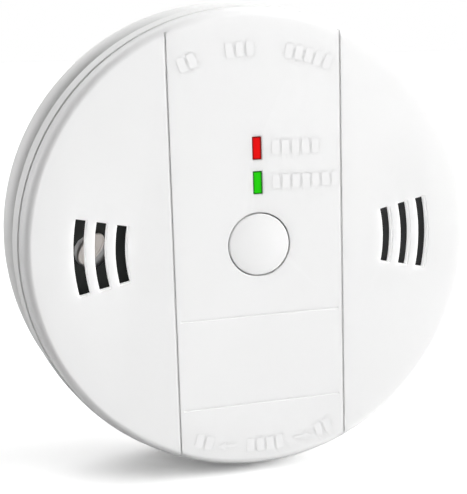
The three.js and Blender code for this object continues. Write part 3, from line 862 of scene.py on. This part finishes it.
def makeHousing():
    floor = housing["back"] - housing["wall"]
    beyond = housing["back"] + past
    bayX, bayZ, bayWall = housing["bayX"], housing["bayZ"], housing["bayWall"]
    bayOuter = brick((-bayX - bayWall, housing["bayFront"], -bayZ - bayWall),
                     (bayX + bayWall, floor + bite, bayZ + bayWall))
    shell = joined(housingShell(), bayOuter)
    bay = brick((-bayX, housing["bayFront"] + bayWall, -bayZ), (bayX, floor + past, bayZ))
    gap = door["gap"]
    recessOutline = roundedRectangle(door["x"] + gap, door["z"] + gap, housing["recessCorner"])
    recess = prism(recessOutline, floor, beyond)
    latchZ = -door["z"] - bayWall
    latch = roundedRectangle(housing["latchX"], housing["latchZ"], housing["latchCorner"], z=latchZ)
    extras = []
    bores = []
    notches = [prism(latch, housing["back"] - housing["latchDepth"], beyond)]
    for start, end in hingeSpans():
        margin, clear = hingeSeat["margin"], hingeSeat["clear"]
        extras.append(brick((start - margin, hingeSeat["front"], hingeSeat["low"]),
                            (end + margin, floor + bite, hingeSeat["high"])))
        notches.append(brick((start - clear, hingeSeat["cutFront"], hingeSeat["cutLow"]),
                             (end + clear, beyond, hingeSeat["cutHigh"])))
    bore, headBore, seat = housing["bossBore"], housing["headBore"], housing["screwSeat"]
    front = housing["boreFront"]
    boreOutline = [(0, front), (bore, front), (bore, seat), (headBore, seat), (headBore, beyond), (0, beyond)]
    for x, z in screwPlaces:
        extras.append(rodAlongDepth(housing["bossRadius"], housing["bossFront"], floor + bite, 32, x, z))
        bores.append(turnOutline(boreOutline, 32, x=x, z=z))
    for angle in housing["lugAngles"]:
        inner, outer = housing["radius"] - housing["lugRoot"], housing["radius"] + housing["lugReach"]
        half = housing["lugHalfAngle"]
        sector = ringSector(inner, outer, angle - half, angle + half, 6)
        extras.append(prism(sector, housing["lugFront"], housing["lugBack"]))
    shell = joined(shell, *extras)
    shell = carved(shell, bay)
    shell = carved(shell, recess, *bores)
    shell = carved(shell, *notches)
    return finishPiece("rearHousing", shell, materials["housingPlastic"], "alarm",
                       ["rear_housing"], edge=0.15)


makeHousing()
print("rear housing made")

# wall plate

plate = {
    "front": 11, "neck": 51.6, "shoulderBack": 24.5, "shoulderDepth": 4.5, "inner": 50.6, "wall": 1.6,
    "opening": 41, "tabInner": 49.1, "tabOuter": 51.1, "tabFront": 14.3, "tabBack": 16.7, "tabStart": 8.4,
    "tabEnd": 6, "stopEnd": 6.6, "stopBack": 19.2, "slotInner": 44.1, "slotOuter": 47.9, "slotHalfAngle": 6,
    "slotFront": 24, "backEdge": ((0, 0.6), (0.15, 0.2), (0.5, 0)),
}


def makePlate():
    shoulder = quarterRound(plate["neck"], plate["shoulderBack"] - plate["shoulderDepth"],
                            plateRadius - plate["neck"], plate["shoulderDepth"], 12)
    floor = totalDepth - plate["wall"]
    outline = [
        (plate["inner"], plate["front"]), (plate["neck"], plate["front"]), *shoulder,
        *[(plateRadius - inset, totalDepth - along) for inset, along in plate["backEdge"]],
        (plate["opening"], totalDepth), (plate["opening"], floor), (plate["inner"], floor),
    ]
    ring = turnOutline(outline, 240, loop=True)
    tabs = []
    stops = []
    for angle in housing["lugAngles"]:
        start, inner, outer = angle - plate["tabStart"], plate["tabInner"], plate["tabOuter"]
        tab = ringSector(inner, outer, start, angle + plate["tabEnd"], 8)
        tabs.append(prism(tab, plate["tabFront"], plate["tabBack"]))
        stop = ringSector(inner, outer, start, angle - plate["stopEnd"], 3)
        stops.append(prism(stop, plate["tabBack"] - bite, plate["stopBack"]))
    ring = joined(ring, *tabs)
    ring = joined(ring, *stops)
    half = plate["slotHalfAngle"]
    slots = []
    for angle in (0, 90, 180, 270):
        slot = ringSector(plate["slotInner"], plate["slotOuter"], angle - half, angle + half, 10)
        slots.append(prism(slot, plate["slotFront"], totalDepth + past))
    return finishPiece("wallPlate", carved(ring, *slots), materials["housingPlastic"], "wall_plate",
                       ["mounting_plate"], edge=0.2)


makePlate()
print("wall plate made")

# gas sensor

sensor = {"x": -36.8, "z": 0.8, "long": 3.95, "short": 2.05, "tilt": 50, "front": 6.05, "back": 8.2,
          "bead": 0.35, "dish": 0.25}


def ovalOutline(long, short, steps=48):
    tilt = math.radians(sensor["tilt"])
    points = []
    for i in range(steps):
        angle = 2 * math.pi * i / steps
        along, across = long * math.cos(angle), short * math.sin(angle)
        points.append((sensor["x"] + along * math.cos(tilt) - across * math.sin(tilt),
                       sensor["z"] + along * math.sin(tilt) + across * math.cos(tilt)))
    return points


def makeSensorCap():
    front, long, short, bead = sensor["front"], sensor["long"], sensor["short"], sensor["bead"]
    cap = prism(ovalOutline(long, short), front, sensor["back"])
    dish = prism(ovalOutline(long - bead, short - bead), front - past, front + sensor["dish"])
    return finishPiece("sensorCap", carved(cap, dish), materials["creamPlastic"], "alarm",
                       ["co_sensor_cap", "co_sensor_inlet_mesh"], edge=0.1)


# The can's rolled edges: how far in and how far along each point of the roll lies.
canRoll = ((0.4, 0), (0.1, 0.1), (0, 0.4))


def makeSensorCan():
    low, high = nodeBox("co_sensor_can")
    radius = (high[0] - low[0]) / 2
    front = [(radius - inset, low[1] + along) for inset, along in canRoll]
    back = [(radius - inset, high[1] - along) for inset, along in reversed(canRoll)]
    outline = [(0, low[1]), *front, *back, (0, high[1])]
    return finishPiece("sensorCan", turnOutline(outline, 96, x=sensor["x"]), materials["plating"], "alarm",
                       ["co_sensor_can"], edge=0, angle=50)


makeSensorCap()
makeSensorCan()

# battery door and its label

grip = {"x": 6, "depth": 0.3, "low": -21.8, "high": -21.5, "pitch": 0.9}
label = {
    "x": 22, "z": 12, "corner": 1, "recess": 0.55, "recessCorner": 0.5, "front": 0.25, "back": 0.06,
    "barStart": -19, "barTop": 8.2, "barPitch": 3.6, "barHeight": 1.1, "barCorner": 0.2, "barGap": 2,
    "barFront": 0.07, "barBack": 0.045, "rows": ((17, 12), (24, 8), (11, 19, 4), (28,), (9, 15)),
}


def hingeRods(radius, reach, segments):
    for start, end in hingeSpans():
        yield rod(radius, start - reach, end + reach, door["hingeDepth"], door["hingeZ"], segments)


def makeDoor():
    back, hingeZ = housing["back"], door["hingeZ"]
    panel = prism(roundedRectangle(door["x"], door["z"], door["corner"]), door["front"], back)
    blockFront, blockLow, blockBack = door["front"] + bite, door["z"] - 1, back - 0.1
    blocks = [brick((start, blockFront, blockLow), (end, blockBack, hingeZ)) for start, end in hingeSpans()]
    shell = joined(panel, *blocks)
    shell = joined(shell, *hingeRods(door["knuckle"], 0, 40))
    shell = joined(shell, *hingeRods(door["pin"], door["pinReach"], 24))
    gap = door["gap"]
    recessOutline = roundedRectangle(label["x"] + gap, label["z"] + gap, label["recessCorner"])
    recess = prism(recessOutline, back - label["recess"], back + past)
    ribs = []
    for i in range(2):
        low, high = grip["low"] - grip["pitch"] * i, grip["high"] - grip["pitch"] * i
        ribs.append(brick((-grip["x"], back - grip["depth"], low), (grip["x"], back + past, high)))
    return finishPiece("batteryDoor", carved(shell, recess, *ribs), materials["housingPlastic"], "door",
                       ["battery_door"], edge=0.12)


def makeLabel():
    back = housing["back"]
    filmOutline = roundedRectangle(label["x"], label["z"], label["corner"])
    film = prism(filmOutline, back - label["front"], back - label["back"])
    finishPiece("ratingLabel", film, materials["labelFilm"], "door", ["rating_label"], edge=0)
    bars = []
    for row, lengths in enumerate(label["rows"]):
        x = label["barStart"]
        z = label["barTop"] - row * label["barPitch"]
        for length in lengths:
            halfHeight = label["barHeight"] / 2
            bar = roundedRectangle(length / 2, halfHeight, label["barCorner"], x + length / 2, z, 3)
            bars.append(prism(bar, back - label["barFront"], back - label["barBack"]))
            x += length + label["barGap"]
    return finishPiece("labelMarks", gather(bars), materials["labelInk"], "door", edge=0)


makeDoor()
makeLabel()
print("sensor, door and label made")

# cells, springs and screws

def turnAlongX(outline, side, middleX, depth, z, segments=72):
    bm = bmesh.new()
    rings = []
    for radius, along in outline:
        x = middleX + side * along
        ring = []
        for i in range(segments):
            angle = 2 * math.pi * i / segments
            spot = place(x, depth + radius * math.cos(angle), z + radius * math.sin(angle))
            ring.append(bm.verts.new(spot))
        rings.append(ring)
    return closeTube(bm, rings)


cell = {"radius": 7, "nub": 2.75, "nubLength": 1}


def makeCell(name, side):
    low, high = nodeBox(name)
    middle, half = (low[0] + high[0]) / 2, (high[0] - low[0]) / 2
    depth, z = (low[1] + high[1]) / 2, (low[2] + high[2]) / 2
    radius, nub, shoulder = cell["radius"], cell["nub"], half - cell["nubLength"]
    body = [
        (radius - 1.2, 1.5 - half), (radius - 1.1, -half), (radius - 0.5, -half), (radius, 0.5 - half),
        (radius, shoulder - 0.5), (radius - 0.12, shoulder - 0.15), (radius - 0.5, shoulder), (4, shoulder),
        (nub + 0.2, shoulder - 0.02), (nub, shoulder + 0.1), (nub - 0.1, half - 0.2), (nub - 0.35, half),
    ]
    return finishPiece(name.replace("battery_", "cell"), turnAlongX(body, side, middle, depth, z),
                       materials["cellSleeve"], "alarm", [name], edge=0, angle=40)


spring = {"wire": 0.35, "turns": 3, "steps": 144, "around": 12, "taper": 1.4}


def makeSpring(name, side):
    low, high = nodeBox(name)
    depth, z = (low[1] + high[1]) / 2, (low[2] + high[2]) / 2
    wire, steps = spring["wire"], spring["steps"]
    wideRadius = (high[2] - low[2]) / 2 - wire
    start = (low[0] if side > 0 else high[0]) + side * wire
    length = high[0] - low[0] - 2 * wire
    bm = bmesh.new()
    rings = []
    for i in range(steps + 1):
        share = i / steps
        angle = share * spring["turns"] * 2 * math.pi
        radius = wideRadius - spring["taper"] * share
        outward = Vector((0, math.cos(angle), math.sin(angle)))
        centre = Vector((start + side * length * share, depth, z)) + radius * outward
        ring = []
        for k in range(spring["around"]):
            turn = 2 * math.pi * k / spring["around"]
            spot = centre + outward * wire * math.cos(turn) + Vector((wire * math.sin(turn), 0, 0))
            ring.append(bm.verts.new(place(*spot)))
        rings.append(ring)
    return finishPiece(name.replace("battery_s", "s"), closeTube(bm, rings), materials["plating"], "alarm",
                       [name], edge=0, angle=60)


boardScrew = {"headRadius": 2.3, "headHeight": 1.5, "shank": 1, "backwards": False}
coverScrew = {"headRadius": 2.6, "headHeight": 1.8, "shank": 1.2, "backwards": True}
thread = {"pitch": 0.6, "root": 0.78, "end": 1.4, "tip": 0.8, "slotHalf": 0.3}


# A screw's outline from the top of its head to its tip, as (radius, distance from the top) points.
def screwOutline(screw, length):
    headRadius, headHeight, shank = screw["headRadius"], screw["headHeight"], screw["shank"]
    outline = quarterRound(0, 0, headRadius, headHeight * 0.6, 8)
    outline.extend([(headRadius, headHeight), (shank, headHeight)])
    along = headHeight
    while along < length - thread["end"]:
        outline.extend([(shank, along + 0.1), (shank * thread["root"], along + 0.35),
                        (shank, along + thread["pitch"])])
        along += thread["pitch"]
    outline.extend([(shank, length - thread["tip"]), (0, length)])
    return outline


def makeScrew(name, screw):
    low, high = nodeBox(name)
    x, z = (low[0] + high[0]) / 2, (low[2] + high[2]) / 2
    arm, recess, half = screw["headRadius"] * 0.55, screw["headHeight"] * 0.55, thread["slotHalf"]
    outline = screwOutline(screw, high[1] - low[1])
    if screw["backwards"]:
        outline = [(radius, high[1] - step) for radius, step in outline]
        front, back = high[1] - recess, high[1] + past
    else:
        outline = [(radius, low[1] + step) for radius, step in outline]
        front, back = low[1] - past, low[1] + recess
    body = turnOutline(outline, 48, x=x, z=z)
    body = carved(body, brick((x - arm, front, z - half), (x + arm, back, z + half)))
    body = carved(body, brick((x - half, front, z - arm), (x + half, back, z + arm)))
    return finishPiece(name.replace("_screw_", "Screw"), body, materials["plating"], "alarm", [name],
                       edge=0, angle=40)


for i, side in ((1, 1), (2, -1), (3, 1)):
    makeCell(f"battery_{i}", side)
    makeSpring(f"battery_spring_{i}", side)
    makeScrew(f"board_screw_{i}", boardScrew)
    makeScrew(f"cover_screw_{i}", coverScrew)
print("cells, springs and screws made")

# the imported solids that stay, with their finishes
finishOfSlot = {
    "cover_plastic": "coverPlastic", "button_plastic": "coverPlastic", "housing_plastic": "housingPlastic",
    "plate_plastic": "housingPlastic", "black_plastic": "blackPlastic", "cream_plastic": "creamPlastic",
    "board": "boardMask", "steel": "plating", "brass": "brass", "copper": "copper", "ceramic": "ceramic",
    "capacitor_sleeve": "capacitorSleeve", "resistor_body": "resistorBody", "cell_sleeve": "cellSleeve",
    "label_film": "labelFilm", "red_lens": "coverPlastic", "green_lens": "coverPlastic",
}
for subpart in frame["record"]["subparts"]:
    obj = frame["nodes"][subpart["node"]]
    obj.data.materials.clear()
    obj.data.materials.append(materials[finishOfSlot[subpart["material_slot"]]])
